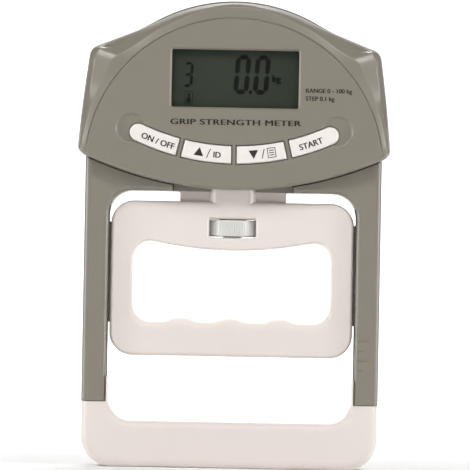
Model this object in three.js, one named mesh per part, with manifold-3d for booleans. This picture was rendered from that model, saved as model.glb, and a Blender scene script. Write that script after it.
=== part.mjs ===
// Hand dynamometer: a grip-strength meter with a display head, two legs, a fixed palm bar and a finger
// grip that hangs on a threaded rod from a load beam. Millimetres, X right, Y back, Z up, standing on its
// palm bar.
import * as THREE from 'three';
import { mergeVertices } from 'three/addons/utils/BufferGeometryUtils.js';
import Module from 'manifold-3d';

const wasm = await Module();
wasm.setup();

// Depths along Y: front faces, the plane where front and rear shells meet, and the flat back.
const DOME_FRONT = -15;
const BAND_FRONT = -11.5;
const LEG_FRONT = -9.5;
const SPLIT = 3;
const BACK = 15.5;
const WALL = 2.2;
const FIT = 0.3;

// Head outline: crown arc, shoulders, sides and the long arc of its lower edge.
const CROWN_R = 67;
const CROWN_Z = 124.4;
const CROWN_END_X = 33;
const LOWER_R = 146;
const LOWER_Z = 259.6;
const LOWER_END_X = 61;
const DOME_R = 60.5;
const DOME_Z = 122.9;
const DOME_SIDE = 0.6;

// Legs and the window between them.
const LEG_OUTER = 60.5;
const LEG_INNER = 50.6;
const LEG_BOTTOM = 26.6;
const WINDOW_TOP = 112.9;
const WINDOW_R = 9.7;
const COVER_END_X = 24.6;
const CHANNEL = [52.6, 58.3];
const CHANNEL_TOP = 108;
const SLOT_DEPTHS = [-6, 12];
const SLOT_Z = [36.9, 111];

// Palm bar.
const BASE_OUTER = 60.3;
const BASE_INNER = 49.8;
const BASE_CORNER = 12.5;
const BASE_FLOOR = 18.7;
const BASE_FILLET = 9.5;
const LINER_TOP = 36.9;

// Finger grip, its tongue and neck, and the screw mechanism in it.
const GRIP_FRONT = -6.5;
const GRIP_BACK = 12.5;
const GRIP_X = 49.6;
const GRIP_Z = [45.5, 108.8];
const GRIP_CORNER = 9.5;
const HOLE_X = 40.6;
const GROOVE_Z = 59.8;
const CREST_RISE = 1.7;
const GROOVE_PITCH = 20.2;
const TONGUE_X = 21.7;
const TONGUE_Y = [-0.5, 6.5];
const TONGUE_TOP = 125.5;
const NECK_R = 8.8;
const NECK_TOP = 127;
const WHEEL_R = 10.5;
const WHEEL_Z = [94.7, 101.3];
const WHEEL_WINDOW = { x: 9.45, z: [94.3, 101.7] };
const POCKET_Z = [92.9, 103.1];
const WASHER_R = 7.6;
const SLEEVE_R = 5.6;
const SLEEVE_TOP = 112;
const ROD_R = 3.8;
const ROD_Z = [94.4, 147];
const RIB = { x: 52.2, y: [-5, 11], z: [58.9, 100] };

// Load beam in the head.
const BEAM = { x: 29, y: [-3, 9], z: [132, 141] };
const BEAM_SCREW_X = 25;
const GAUGE_X = 14;

// Display, board and buttons.
const DISPLAY = { x: 25.9, z: [147, 170.5] };
const BOARD = { x: 43, y: [-8.2, -6.6], z: [124, 172] };
const FAN_Z = 221.5;
const FAN_R = [90.2, 97.3];
const FAN_SPLIT = THREE.MathUtils.degToRad(13.5);
const FAN_END = THREE.MathUtils.degToRad(24.6);
const BUTTON_GAP = 1.15;
const BUTTON_FRONT = -15.5;

// Battery bay: two AAA cells side by side behind a door in the back.
const BAY = { x: 25.8, y: 2, z: [149.5, 173.8] };
const CELL_R = 5.2;
const CELL_L = 43.5;
const CELL_Y = 7.9;
const CELL_Z = [155.6, 167.7];

// Screws: [x, z] of each set.
const HEAD_SCREWS = [[-50, 160], [50, 160], [-53, 137], [53, 137]];
const LEG_SCREWS = [[-55.5, 38], [55.5, 38]];
const BASE_SCREWS = [[-35, 9.5], [35, 9.5]];
const GRIP_SCREWS = [[-45.1, 96], [45.1, 96], [-45.1, 52], [45.1, 52]];
const BOARD_SCREWS = [[-36, 163], [36, 163]];
const SCREW = { head: 2.4, headH: 1.6, shank: 1.3 };

const model = new THREE.Group();

function material(color, roughness, metalness = 0) {
  return new THREE.MeshStandardMaterial({ color, roughness, metalness });
}

const greyShell = material(0x8b8378, 0.55);
const whiteShell = material(0xe4dcd6, 0.45);
const steel = material(0xb4b6b8, 0.35, 0.9);
const aluminium = material(0xc2c4c6, 0.45, 0.9);
const brass = material(0xc6a04e, 0.35, 0.9);
const rubber = material(0x4a4a4a, 0.85);
const boardGreen = material(0x1f5a36, 0.5);
const blackPlastic = material(0x1c1c1e, 0.5);
const displayGlass = material(0x414b3e, 0.3);
const clearLens = material(0xdfe6e4, 0.1);
const gaugeFoil = material(0xc98a3a, 0.5);

// ---- geometry helpers -------------------------------------------------------------------------------------

// A closed outline without the points that repeat the one before them.
function clean(points) {
  return points.filter((p, i) => p.distanceTo(points.at(i - 1)) > 1e-3);
}

// Extrudes a closed outline of XZ points along Y.
function prism(outline, y0, y1) {
  const shape = new THREE.Shape(clean(outline));
  const geometry = new THREE.ExtrudeGeometry(shape, { depth: y1 - y0, bevelEnabled: false });
  geometry.rotateX(Math.PI / 2);
  geometry.translate(0, y1, 0);
  return solid(geometry);
}

function box([x0, x1], [y0, y1], [z0, z1]) {
  const geometry = new THREE.BoxGeometry(x1 - x0, y1 - y0, z1 - z0);
  geometry.translate((x0 + x1) / 2, (y0 + y1) / 2, (z0 + z1) / 2);
  return solid(geometry);
}

function cylinderY([x, z], r, [y0, y1], sides = 16) {
  const geometry = new THREE.CylinderGeometry(r, r, y1 - y0, sides);
  geometry.translate(x, (y0 + y1) / 2, z);
  return solid(geometry);
}

function cylinderZ([x, y], r, [z0, z1], sides = 24) {
  const geometry = new THREE.CylinderGeometry(r, r, z1 - z0, sides);
  geometry.rotateX(Math.PI / 2);
  geometry.translate(x, y, (z0 + z1) / 2);
  return solid(geometry);
}

function solid(geometry) {
  const bare = geometry.clone();
  bare.deleteAttribute('normal');
  bare.deleteAttribute('uv');
  const merged = mergeVertices(bare, 1e-4);
  const vertProperties = merged.attributes.position.array;
  const triVerts = new Uint32Array(merged.index.array);
  return new wasm.Manifold(new wasm.Mesh({ numProp: 3, vertProperties, triVerts }));
}

function geometryOf(manifold) {
  const mesh = manifold.getMesh();
  const geometry = new THREE.BufferGeometry();
  geometry.setAttribute('position', new THREE.BufferAttribute(mesh.vertProperties, 3));
  geometry.setIndex(new THREE.BufferAttribute(mesh.triVerts, 1));
  return geometry;
}

function join(first, ...others) {
  return others.reduce((whole, piece) => whole.add(piece), first);
}

function cut(first, ...tools) {
  return tools.reduce((rest, tool) => rest.subtract(tool), first);
}

function place(name, shape, finish) {
  const mesh = new THREE.Mesh(shape instanceof THREE.BufferGeometry ? shape : geometryOf(shape), finish);
  mesh.name = name;
  model.add(mesh);
}

// Moves every side of a closed outline outwards by a distance, or inwards when it is negative.
function grow(outline, distance) {
  const points = clean(outline);
  const turn = THREE.ShapeUtils.isClockWise(points) ? -1 : 1;
  return points.map((point, i) => {
    const before = points[(i + points.length - 1) % points.length];
    const after = points[(i + 1) % points.length];
    const a = point.clone().sub(before).normalize();
    const b = after.clone().sub(point).normalize();
    const normal = new THREE.Vector2(a.y + b.y, -a.x - b.x).normalize();
    const reach = distance / Math.max(0.5, normal.dot(new THREE.Vector2(a.y, -a.x)));
    return point.clone().addScaledVector(normal, turn * reach);
  });
}

function mirrored(halfPath, divisions) {
  const right = halfPath.getPoints(divisions);
  const left = right.slice(1, -1).map((p) => new THREE.Vector2(-p.x, p.y)).reverse();
  return right.concat(left);
}

function mirrorX([x0, x1]) {
  return [-x1, -x0];
}

// ---- outlines in the XZ plane -----------------------------------------------------------------------------

function headOutline() {
  const path = new THREE.Path();
  const crownEnd = Math.acos(CROWN_END_X / CROWN_R);
  const lowerStart = -Math.acos(LOWER_END_X / LOWER_R);
  path.absarc(0, CROWN_Z, CROWN_R, Math.PI / 2, crownEnd, true);
  path.quadraticCurveTo(43.3, 176.9, 56, 172.3);
  path.quadraticCurveTo(59, 171.2, 59.7, 168.5);
  path.quadraticCurveTo(62.4, 150, 63.9, 131.5);
  path.quadraticCurveTo(64.1, 128.4, LOWER_END_X, LOWER_Z + LOWER_R * Math.sin(lowerStart));
  path.absarc(0, LOWER_Z, LOWER_R, lowerStart, -Math.PI / 2, true);
  return mirrored(path, 5);
}

function legHalf(innerEnd) {
  const shape = new THREE.Shape();
  shape.moveTo(LEG_OUTER, LEG_BOTTOM);
  shape.lineTo(LEG_OUTER, 132);
  shape.lineTo(innerEnd, 132);
  shape.lineTo(innerEnd, WINDOW_TOP);
  shape.lineTo(LEG_INNER - WINDOW_R, WINDOW_TOP);
  shape.absarc(LEG_INNER - WINDOW_R, WINDOW_TOP - WINDOW_R, WINDOW_R, Math.PI / 2, 0, true);
  shape.lineTo(LEG_INNER, LEG_BOTTOM);
  return shape.getPoints(6);
}

function flipX(points) {
  return points.map((p) => new THREE.Vector2(-p.x, p.y));
}

function baseOutline() {
  const shape = new THREE.Shape();
  shape.moveTo(BASE_CORNER - BASE_OUTER, 0);
  shape.lineTo(BASE_OUTER - BASE_CORNER, 0);
  shape.absarc(BASE_OUTER - BASE_CORNER, BASE_CORNER, BASE_CORNER, -Math.PI / 2, 0);
  shape.lineTo(BASE_OUTER, LEG_BOTTOM);
  shape.lineTo(LEG_INNER - 0.1, LEG_BOTTOM);
  shape.lineTo(LEG_INNER - 0.1, LINER_TOP);
  shape.lineTo(BASE_INNER, LINER_TOP);
  shape.lineTo(BASE_INNER, BASE_FLOOR + BASE_FILLET);
  shape.absarc(BASE_INNER - BASE_FILLET, BASE_FLOOR + BASE_FILLET, BASE_FILLET, 0, -Math.PI / 2, true);
  shape.lineTo(BASE_FILLET - BASE_INNER, BASE_FLOOR);
  shape.absarc(BASE_FILLET - BASE_INNER, BASE_FLOOR + BASE_FILLET, BASE_FILLET, -Math.PI / 2, -Math.PI, true);
  shape.lineTo(-BASE_INNER, LINER_TOP);
  shape.lineTo(0.1 - LEG_INNER, LINER_TOP);
  shape.lineTo(0.1 - LEG_INNER, LEG_BOTTOM);
  shape.lineTo(-BASE_OUTER, LEG_BOTTOM);
  shape.absarc(BASE_CORNER - BASE_OUTER, BASE_CORNER, BASE_CORNER, Math.PI, 1.5 * Math.PI);
  return shape.getPoints(6);
}

function baseHollow() {
  const shape = new THREE.Shape();
  shape.moveTo(-46, WALL);
  shape.lineTo(46, WALL);
  shape.absarc(46, WALL + 11, 11, -Math.PI / 2, 0);
  shape.lineTo(57, LEG_BOTTOM - WALL);
  shape.lineTo(53, LEG_BOTTOM - WALL);
  shape.quadraticCurveTo(50, BASE_FLOOR - WALL, 40, BASE_FLOOR - WALL);
  shape.lineTo(-40, BASE_FLOOR - WALL);
  shape.quadraticCurveTo(-50, BASE_FLOOR - WALL, -53, LEG_BOTTOM - WALL);
  shape.lineTo(-57, LEG_BOTTOM - WALL);
  shape.absarc(-46, WALL + 11, 11, Math.PI, 1.5 * Math.PI);
  return shape.getPoints(5);
}

function gripOutline() {
  const shape = new THREE.Shape();
  const x = GRIP_X - GRIP_CORNER;
  shape.absarc(x, GRIP_Z[0] + GRIP_CORNER, GRIP_CORNER, -Math.PI / 2, 0);
  shape.absarc(x, GRIP_Z[1] - GRIP_CORNER, GRIP_CORNER, 0, Math.PI / 2);
  shape.absarc(-x, GRIP_Z[1] - GRIP_CORNER, GRIP_CORNER, Math.PI / 2, Math.PI);
  shape.absarc(-x, GRIP_Z[0] + GRIP_CORNER, GRIP_CORNER, Math.PI, 1.5 * Math.PI);
  return shape.getPoints(5);
}

// Finger hole: four grooves below, straight sides, and an upper edge that sags towards the middle.
function fingerHole() {
  const points = [];
  for (let i = 0; i <= 32; i += 1) {
    const x = -34 + (68 * i) / 32;
    const wave = Math.abs(Math.cos((Math.PI * (x + 0.3)) / GROOVE_PITCH));
    const rise = Math.abs(x) < 1.3 * GROOVE_PITCH ? wave ** 4 : 0;
    points.push(new THREE.Vector2(x, GROOVE_Z + CREST_RISE * rise));
  }
  const side = new THREE.Path();
  side.moveTo(34, GROOVE_Z);
  side.quadraticCurveTo(HOLE_X, 60.4, HOLE_X, 68);
  side.lineTo(HOLE_X, 84);
  side.quadraticCurveTo(HOLE_X - 0.6, 92.6, 33, 92.4);
  side.quadraticCurveTo(16, 88.9, 0, 88.9);
  const right = side.getPoints(5).slice(1);
  const left = flipX(right).reverse().slice(1);
  return points.concat(right, left.slice(0, -1));
}

// A key of the fan: between two rays from the fan's centre, with one end rounded on the outer keys.
function keyOutline(side, outer, spread) {
  const [inner, outerR] = [FAN_R[0] - spread, FAN_R[1] + spread];
  const gap = BUTTON_GAP - spread;
  const angle = (r, at, offset) => -Math.PI / 2 + at + Math.asin(offset / r);
  const from = outer ? FAN_SPLIT : 0;
  const shape = new THREE.Shape();
  if (outer) {
    const middle = (inner + outerR) / 2;
    const end = [middle * Math.sin(FAN_END), FAN_Z - middle * Math.cos(FAN_END)];
    shape.absarc(0, FAN_Z, outerR, angle(outerR, from, gap), -Math.PI / 2 + FAN_END);
    shape.absarc(...end, (outerR - inner) / 2, FAN_END - Math.PI / 2, FAN_END + Math.PI / 2);
    shape.absarc(0, FAN_Z, inner, -Math.PI / 2 + FAN_END, angle(inner, from, gap), true);
  } else {
    shape.absarc(0, FAN_Z, outerR, angle(outerR, from, gap), angle(outerR, FAN_SPLIT, -gap));
    shape.absarc(0, FAN_Z, inner, angle(inner, FAN_SPLIT, -gap), angle(inner, from, gap), true);
  }
  const points = shape.getPoints(5);
  return side > 0 ? points : flipX(points);
}

const KEYS = [
  { name: 'button_on', side: -1, outer: true },
  { name: 'button_up', side: -1, outer: false },
  { name: 'button_down', side: 1, outer: false },
  { name: 'button_start', side: 1, outer: true },
];

// ---- screws -----------------------------------------------------------------------------------------------

// A pan-head screw along Y, its head towards +Y when way is 1 and towards -Y when way is -1.
function screw([x, z], headTop, length, way = 1) {
  const { head, headH, shank } = SCREW;
  const profile = [[0, -length], [shank, -length], [shank, -headH], [head, -headH], [head, 0], [0, 0]];
  const geometry = new THREE.LatheGeometry(profile.map(([r, y]) => new THREE.Vector2(r, y)), 10);
  if (way < 0) {
    geometry.rotateX(Math.PI);
  }
  geometry.translate(x, headTop, z);
  return geometryOf(solid(geometry));
}

function screwHole(at, headTop, length) {
  const seat = cylinderY(at, SCREW.head + FIT, [headTop - SCREW.headH, headTop + 1], 12);
  return seat.add(cylinderY(at, SCREW.shank + FIT, [headTop - length - FIT, headTop], 10));
}

function placeScrews(prefix, places, headTop, length) {
  const names = places.length === 2 ? ['left', 'right'] : ['left_1', 'right_1', 'left_2', 'right_2'];
  places.forEach((at, i) => place(`${prefix}_${names[i]}`, screw(at, headTop, length), steel));
}

// ---- head -------------------------------------------------------------------------------------------------

const head = headOutline();
const headInside = grow(head, -WALL);

function domeOutline(radius) {
  const shape = new THREE.Shape();
  shape.absarc(0, DOME_Z, radius, 0, 2 * Math.PI);
  return shape.getPoints(16);
}

// Clearance for the tongue and the neck of the grip where they enter the head.
function neckPassage(z) {
  const tongue = box([-TONGUE_X - 0.5, TONGUE_X + 0.5], [TONGUE_Y[0] - 0.6, TONGUE_Y[1] + 0.6], z);
  return tongue.add(cylinderZ([0, SPLIT], NECK_R + 0.6, z));
}

function headCover() {
  const dome = prism(domeOutline(DOME_R), DOME_FRONT, BAND_FRONT + 1).intersect(
    prism(grow(head, -DOME_SIDE), DOME_FRONT, BAND_FRONT + 1));
  const domeInside = prism(domeOutline(DOME_R - WALL), DOME_FRONT + WALL, BAND_FRONT + WALL + 1).intersect(
    prism(grow(head, -DOME_SIDE - WALL), DOME_FRONT + WALL, BAND_FRONT + WALL + 1));
  const band = prism(head, BAND_FRONT, SPLIT);
  const hollow = prism(headInside, BAND_FRONT + 2, SPLIT + 1).add(domeInside);
  const guide = box([-24.3, 24.3], [-5, SPLIT], [WINDOW_TOP, 118]);
  let cover = cut(band.add(dome), hollow).add(guide);
  for (const at of HEAD_SCREWS) {
    const underDome = Math.hypot(at[0], at[1] - DOME_Z) < DOME_R - 5;
    const foot = underDome ? DOME_FRONT + WALL : BAND_FRONT + 2;
    cover = cover.add(cylinderY(at, 3.2, [foot - 0.2, SPLIT]));
  }
  for (const at of BOARD_SCREWS) {
    cover = cover.add(cylinderY(at, 2.6, [DOME_FRONT + WALL - 0.2, BOARD.y[0] - 0.2]));
  }
  const window = box([-DISPLAY.x, DISPLAY.x], [-17, -12], DISPLAY.z);
  const keyHoles = KEYS.map((key) => prism(keyOutline(key.side, key.outer, 0.4), -17, -12));
  const doorway = box([-24.3, 24.3], [-8.8, SPLIT + 1], [113.2, 118]).subtract(
    box([-25, 25], [-5, SPLIT + 2], [110, 119]));
  const holes = HEAD_SCREWS.map((at) => screwHole(at, BACK, 24));
  const boardHoles = BOARD_SCREWS.map((at) => screwHole(at, BOARD.y[1] + 0.2 + SCREW.headH, 5.5));
  return cut(cover, window, ...keyHoles, doorway, neckPassage([110, 119]), ...holes, ...boardHoles);
}

function rearHousing() {
  const legs = prism(legHalf(-1), SPLIT, BACK).add(prism(flipX(legHalf(-1)), SPLIT, BACK));
  const outer = prism(head, SPLIT, BACK).add(legs);
  const hollow = prism(headInside, SPLIT - 1, BACK - WALL);
  const channel = box(CHANNEL, [SPLIT - 1, BACK - WALL], [LEG_BOTTOM - 1, CHANNEL_TOP]);
  const channelLeft = box(mirrorX(CHANNEL), [SPLIT - 1, BACK - WALL], [LEG_BOTTOM - 1, CHANNEL_TOP]);
  const slot = box([50, 53.2], [SPLIT - 1, SLOT_DEPTHS[1]], SLOT_Z);
  const slotLeft = box([-53.2, -50], [SPLIT - 1, SLOT_DEPTHS[1]], SLOT_Z);
  let shell = cut(outer, hollow, channel, channelLeft, slot, slotLeft, neckPassage([110, 119]));
  shell = shell.add(box([-27, 27], [BAY.y - 1.2, BACK - WALL], [BAY.z[0] - 1.2, BAY.z[1] + 1.2]));
  for (const side of [-1, 1]) {
    const x = side > 0 ? [21, 29] : [-29, -21];
    shell = shell.add(box(x, [BEAM.y[1] + FIT, BACK - 1], BEAM.z));
  }
  for (const at of HEAD_SCREWS) {
    shell = shell.add(cylinderY(at, 3.2, [SPLIT, BACK - 1]));
  }
  const bay = box([-BAY.x, BAY.x], [BAY.y, BACK + 1], BAY.z);
  const earSlots = CELL_Z.map((z) => box([24.4, 25.8], [0, 3], [z - 2, z + 2]));
  const beamHoles = [-1, 1].map((s) => cylinderY([s * BEAM_SCREW_X, 136.5], 1.6, [5, 12.6], 10));
  const holes = [...HEAD_SCREWS, ...LEG_SCREWS].map((at) => screwHole(at, BACK, 24));
  return cut(shell, bay, ...earSlots, ...beamHoles, ...holes);
}

function legCover(side) {
  const outline = side > 0 ? legHalf(COVER_END_X) : flipX(legHalf(COVER_END_X));
  const onSide = (span) => (side > 0 ? span : mirrorX(span));
  const channel = box(onSide(CHANNEL), [LEG_FRONT + WALL, SPLIT + 1], [LEG_BOTTOM - 1, CHANNEL_TOP]);
  const slot = box(onSide([50, 53.2]), [SLOT_DEPTHS[0], SPLIT + 1], SLOT_Z);
  return cut(prism(outline, LEG_FRONT, SPLIT), prism(grow(head, FIT), -20, SPLIT + 1), channel, slot);
}

place('head_cover', headCover(), greyShell);
place('rear_housing', rearHousing(), greyShell);
place('leg_cover_left', legCover(-1), greyShell);
place('leg_cover_right', legCover(1), greyShell);
placeScrews('head_screw', HEAD_SCREWS, BACK, 24);
placeScrews('leg_screw', LEG_SCREWS, BACK, 10);

// ---- palm bar ---------------------------------------------------------------------------------------------

function baseHalf(y0, y1, hollowY) {
  let half = cut(prism(baseOutline(), y0, y1), prism(baseHollow(), ...hollowY));
  for (const at of BASE_SCREWS) {
    const depth = [Math.max(y0, hollowY[0] - 0.5), Math.min(y1, hollowY[1] + 0.5)];
    half = half.add(cylinderY(at, 3.2, depth));
  }
  return half;
}

// The rear half carries two spigots that stand up into the legs and are screwed there.
function baseRear() {
  let half = baseHalf(SPLIT, BACK, [SPLIT - 1, BACK - WALL]);
  for (const x of [[53.1, 57.8], [-57.8, -53.1]]) {
    half = half.add(box(x, [SPLIT, BACK - WALL - FIT], [20, 44]));
  }
  const holes = [...BASE_SCREWS, ...LEG_SCREWS].map((at) => screwHole(at, BACK, 20));
  return cut(half, ...holes);
}

function baseFront() {
  const half = baseHalf(LEG_FRONT, SPLIT, [LEG_FRONT + WALL, SPLIT + 1]);
  return cut(half, ...BASE_SCREWS.map((at) => screwHole(at, BACK, 20)));
}

place('base_front', baseFront(), whiteShell);
place('base_rear', baseRear(), whiteShell);
placeScrews('base_screw', BASE_SCREWS, BACK, 20);

// ---- finger grip ------------------------------------------------------------------------------------------

// One half of the ring: a tray with walls all round, the wheel pocket, the tongue, the neck and guide ribs.
function gripHalf(front) {
  const [y0, y1] = front ? [GRIP_FRONT, SPLIT] : [SPLIT, GRIP_BACK];
  const hollowY = front ? [GRIP_FRONT + WALL, SPLIT + 1] : [SPLIT - 1, GRIP_BACK - WALL];
  const within = (span) => (front ? [span[0], SPLIT] : [SPLIT, span[1]]);
  const ring = prism(gripOutline(), y0, y1).subtract(prism(fingerHole(), y0 - 1, y1 + 1));
  const hollow = prism(grow(gripOutline(), -WALL), ...hollowY).subtract(
    prism(grow(fingerHole(), WALL), hollowY[0] - 1, hollowY[1] + 1));
  let half = ring.subtract(hollow);
  half = half.add(box([-15, 15], [y0 + 1, y1 - (front ? 0 : 1)], [91, 107.5]));
  half = half.add(box([-TONGUE_X, TONGUE_X], within(TONGUE_Y), [106, TONGUE_TOP]));
  const nearHalf = box([-20, 20], [y0, y1], [80, 140]);
  half = half.add(cylinderZ([0, SPLIT], NECK_R, [104, NECK_TOP]).intersect(nearHalf));
  half = half.add(box([GRIP_X - 1, RIB.x], within(RIB.y), RIB.z));
  half = half.add(box([-RIB.x, 1 - GRIP_X], within(RIB.y), RIB.z));
  for (const at of GRIP_SCREWS) {
    half = half.add(cylinderY(at, 3, [y0 + 1, y1 - (front ? 0 : 1)], 12));
  }
  const pocket = cylinderZ([0, SPLIT], WHEEL_R + 0.5, POCKET_Z, 32).intersect(
    box([-12, 12], [GRIP_FRONT + 1.5, GRIP_BACK - 1.5], POCKET_Z));
  const window = box([-WHEEL_WINDOW.x, WHEEL_WINDOW.x], [GRIP_FRONT - 5, GRIP_BACK + 5], WHEEL_WINDOW.z);
  const sleeveBore = cylinderZ([0, SPLIT], SLEEVE_R + 0.4, [102, SLEEVE_TOP + 1]);
  const rodBore = cylinderZ([0, SPLIT], ROD_R + 0.5, [90.5, NECK_TOP + 1]);
  const holes = GRIP_SCREWS.map((at) => screwHole(at, GRIP_BACK, 15));
  return cut(half, pocket, window, sleeveBore, rodBore, ...holes);
}

function ring(outer, inner, [z0, z1], sides = 32) {
  const bore = cylinderZ([0, SPLIT], inner, [z0 - 1, z1 + 1]);
  return cylinderZ([0, SPLIT], outer, [z0, z1], sides).subtract(bore);
}

place('grip_front', gripHalf(true), whiteShell);
place('grip_rear', gripHalf(false), whiteShell);
placeScrews('grip_screw', GRIP_SCREWS, GRIP_BACK, 15);
place('thumbwheel', ring(WHEEL_R, SLEEVE_R + FIT, WHEEL_Z, 48), steel);
place('wheel_sleeve', ring(SLEEVE_R, ROD_R + 0.4, [WHEEL_Z[0] + 0.2, SLEEVE_TOP]), brass);
place('wheel_washer_lower', ring(WASHER_R, SLEEVE_R + 0.4, [93.2, 94.2], 24), steel);
place('wheel_washer_upper', ring(WASHER_R, SLEEVE_R + 0.4, [101.8, 102.8], 24), steel);

// ---- load cell --------------------------------------------------------------------------------------------

function loadBeam() {
  const bar = box([-BEAM.x, BEAM.x], BEAM.y, BEAM.z);
  const reliefs = [-1, 1].map((s) => cylinderY([s * GAUGE_X, 136.5], 3.2, [-4, 10], 20));
  const screwHoles = [-1, 1].map((s) => cylinderY([s * BEAM_SCREW_X, 136.5], 1.6, [-4, 10], 10));
  const rodHole = cylinderZ([0, SPLIT], ROD_R + FIT, [130, 143]);
  return cut(bar, ...reliefs, ...screwHoles, rodHole);
}

function rodNut(z) {
  return cylinderZ([0, SPLIT], 6.6, z, 6).subtract(cylinderZ([0, SPLIT], ROD_R + FIT, [z[0] - 1, z[1] + 1]));
}

place('load_beam', loadBeam(), aluminium);
place('tension_rod', cylinderZ([0, SPLIT], ROD_R, ROD_Z), steel);
place('rod_nut_upper', rodNut([141.2, 145.2]), steel);
place('rod_nut_lower', rodNut([130.4, 131.8]), steel);
for (const [side, name] of [[-1, 'left'], [1, 'right']]) {
  const x = side * GAUGE_X;
  place(`strain_gauge_${name}`, box([x - 3, x + 3], [0.5, 5.5], [141.2, 141.5]), gaugeFoil);
  const headTop = BEAM.y[0] - SCREW.headH - 0.2;
  place(`beam_screw_${name}`, screw([side * BEAM_SCREW_X, 136.5], headTop, 16, -1), steel);
}

// ---- electronics ------------------------------------------------------------------------------------------

function circuitBoard() {
  const board = box([-BOARD.x, BOARD.x], BOARD.y, BOARD.z);
  return cut(board, ...BOARD_SCREWS.map((at) => cylinderY(at, SCREW.shank + FIT, [-10, -5], 10)));
}

function displayHolder() {
  const frame = box([-28.3, 28.3], [-11.4, BOARD.y[0] - 0.2], [145.4, 172.2]);
  const pocket = box([-26.9, 26.9], [-12, -9.2], [146.3, 171.4]);
  const stripSlots = [148, 169.6].map((z) => box([-25, 25], [-10, -7], [z - 1.1, z + 1.1]));
  return cut(frame, pocket, ...stripSlots);
}

// Rubber sheet along the fan of keys, with a raised pad under each.
function keypad() {
  const sheet = new THREE.Shape();
  const reach = FAN_END + 0.05;
  sheet.absarc(0, FAN_Z, 99.5, -Math.PI / 2 - reach, -Math.PI / 2 + reach);
  sheet.absarc(0, FAN_Z, 88.5, -Math.PI / 2 + reach, -Math.PI / 2 - reach, true);
  const pads = KEYS.map((key) => prism(keyOutline(key.side, key.outer, -1.6), -10.3, -9));
  return join(prism(sheet.getPoints(8), -9.6, BOARD.y[0] - 0.2), ...pads);
}

function keyCap(key) {
  const cap = prism(keyOutline(key.side, key.outer, 0), BUTTON_FRONT, -12);
  return cap.add(prism(keyOutline(key.side, key.outer, 0.8), -12.5, -11.3));
}

function lead(points) {
  const path = new THREE.CatmullRomCurve3(points.map((p) => new THREE.Vector3(...p)));
  const section = new THREE.Shape();
  section.absarc(0, 0, 0.6, 0, 2 * Math.PI);
  const geometry = new THREE.ExtrudeGeometry(section, { extrudePath: path, steps: 7, curveSegments: 4 });
  return geometryOf(solid(geometry));
}

place('display_lens', box([-27.5, 27.5], [-12.6, -11.6], [145.9, 171.6]), clearLens);
place('display_glass', box([-26.6, 26.6], [-11.4, -9.5], [146.6, 171.1]), displayGlass);
place('display_holder', displayHolder(), whiteShell);
place('contact_strip_lower', box([-24.6, 24.6], [-9.3, BOARD.y[0] - 0.1], [147.3, 148.7]), rubber);
place('contact_strip_upper', box([-24.6, 24.6], [-9.3, BOARD.y[0] - 0.1], [168.9, 170.3]), rubber);
place('circuit_board', circuitBoard(), boardGreen);
place('controller_chip', box([-6, 6], [BOARD.y[1] + 0.1, -5.3], [151, 160]), blackPlastic);
place('keypad', keypad(), rubber);
placeScrews('board_screw', BOARD_SCREWS, BOARD.y[1] + 0.2 + SCREW.headH, 5.5);
for (const key of KEYS) {
  place(key.name, keyCap(key), whiteShell);
}
for (const [side, name] of [[-1, 'left'], [1, 'right']]) {
  const route = [[14, 3, 142.2], [14.5, 1.5, 144.8], [16, -3, 146], [18, -5.9, 144.5]];
  place(`gauge_lead_${name}`, lead(route.map(([x, y, z]) => [side * x, y, z])), blackPlastic);
}

// ---- batteries --------------------------------------------------------------------------------------------

// A dry cell lying along X with its nub towards way.
function cell(z, way) {
  const half = CELL_L / 2;
  const nub = half + 0.9;
  const profile = [[0, -half], [CELL_R, -half], [CELL_R, half], [1.9, half], [1.9, nub], [0, nub]];
  const geometry = new THREE.LatheGeometry(profile.map(([r, y]) => new THREE.Vector2(r, y)), 20);
  geometry.rotateZ(way > 0 ? -Math.PI / 2 : Math.PI / 2);
  geometry.translate(0, CELL_Y, z);
  return geometryOf(solid(geometry));
}

// Sheet contact at one end of the bay, with a spring cone for the flat end of a cell.
function springCone(x, z, way) {
  const geometry = new THREE.CylinderGeometry(1.6, 3.2, 1.6, 12);
  geometry.rotateZ(way > 0 ? -Math.PI / 2 : Math.PI / 2);
  geometry.translate(x + way * 0.7, CELL_Y, z);
  return solid(geometry);
}

function endContact(z, sprung) {
  const plate = box([24.9, 25.5], [3.4, 12.4], [z - 4.5, z + 4.5]);
  const ear = box([24.9, 25.5], [-0.8, 4], [z - 1.5, z + 1.5]);
  return sprung ? join(plate, ear, springCone(24.9, z, -1)) : plate.add(ear);
}

function bridgeContact() {
  const plate = box([-25.5, -24.9], [3.4, 12.4], [CELL_Z[0] - 4.5, CELL_Z[1] + 4.5]);
  return plate.add(springCone(-24.9, CELL_Z[1], 1));
}

function batteryDoor() {
  const plate = box([-25.4, 25.4], [13.7, BACK], [BAY.z[0] + 0.4, BAY.z[1] - 0.4]);
  const latch = box([-4, 4], [11.6, 14], [172.2, 173.2]);
  const tabs = [-1, 1].map((s) => box([s * 14 - 2, s * 14 + 2], [12.2, 14], [150, 151.4]));
  return join(plate, latch, ...tabs);
}

place('battery_cell_lower', cell(CELL_Z[0], -1), blackPlastic);
place('battery_cell_upper', cell(CELL_Z[1], 1), blackPlastic);
place('battery_contact_bridge', bridgeContact(), steel);
place('battery_contact_plus', endContact(CELL_Z[1], false), steel);
place('battery_contact_minus', endContact(CELL_Z[0], true), steel);
place('battery_door', batteryDoor(), greyShell);
for (const [z, name] of [[CELL_Z[1], 'red'], [CELL_Z[0], 'black']]) {
  const route = [[25.2, -1.3, z], [26, -3, z], [28, -4.5, z - 0.7], [29, -5.9, z - 2.6]];
  place(`battery_lead_${name}`, lead(route), rubber);
}

export default model;
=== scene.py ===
"""Hand dynamometer: grip-strength meter with a display head on two legs, a palm bar and a finger grip.

Pieces are drawn in millimetres (x right, y back, z up) and scaled to metres when they are finished.
"""

import math

import bpy
import numpy as np
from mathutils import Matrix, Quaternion, Vector


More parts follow.
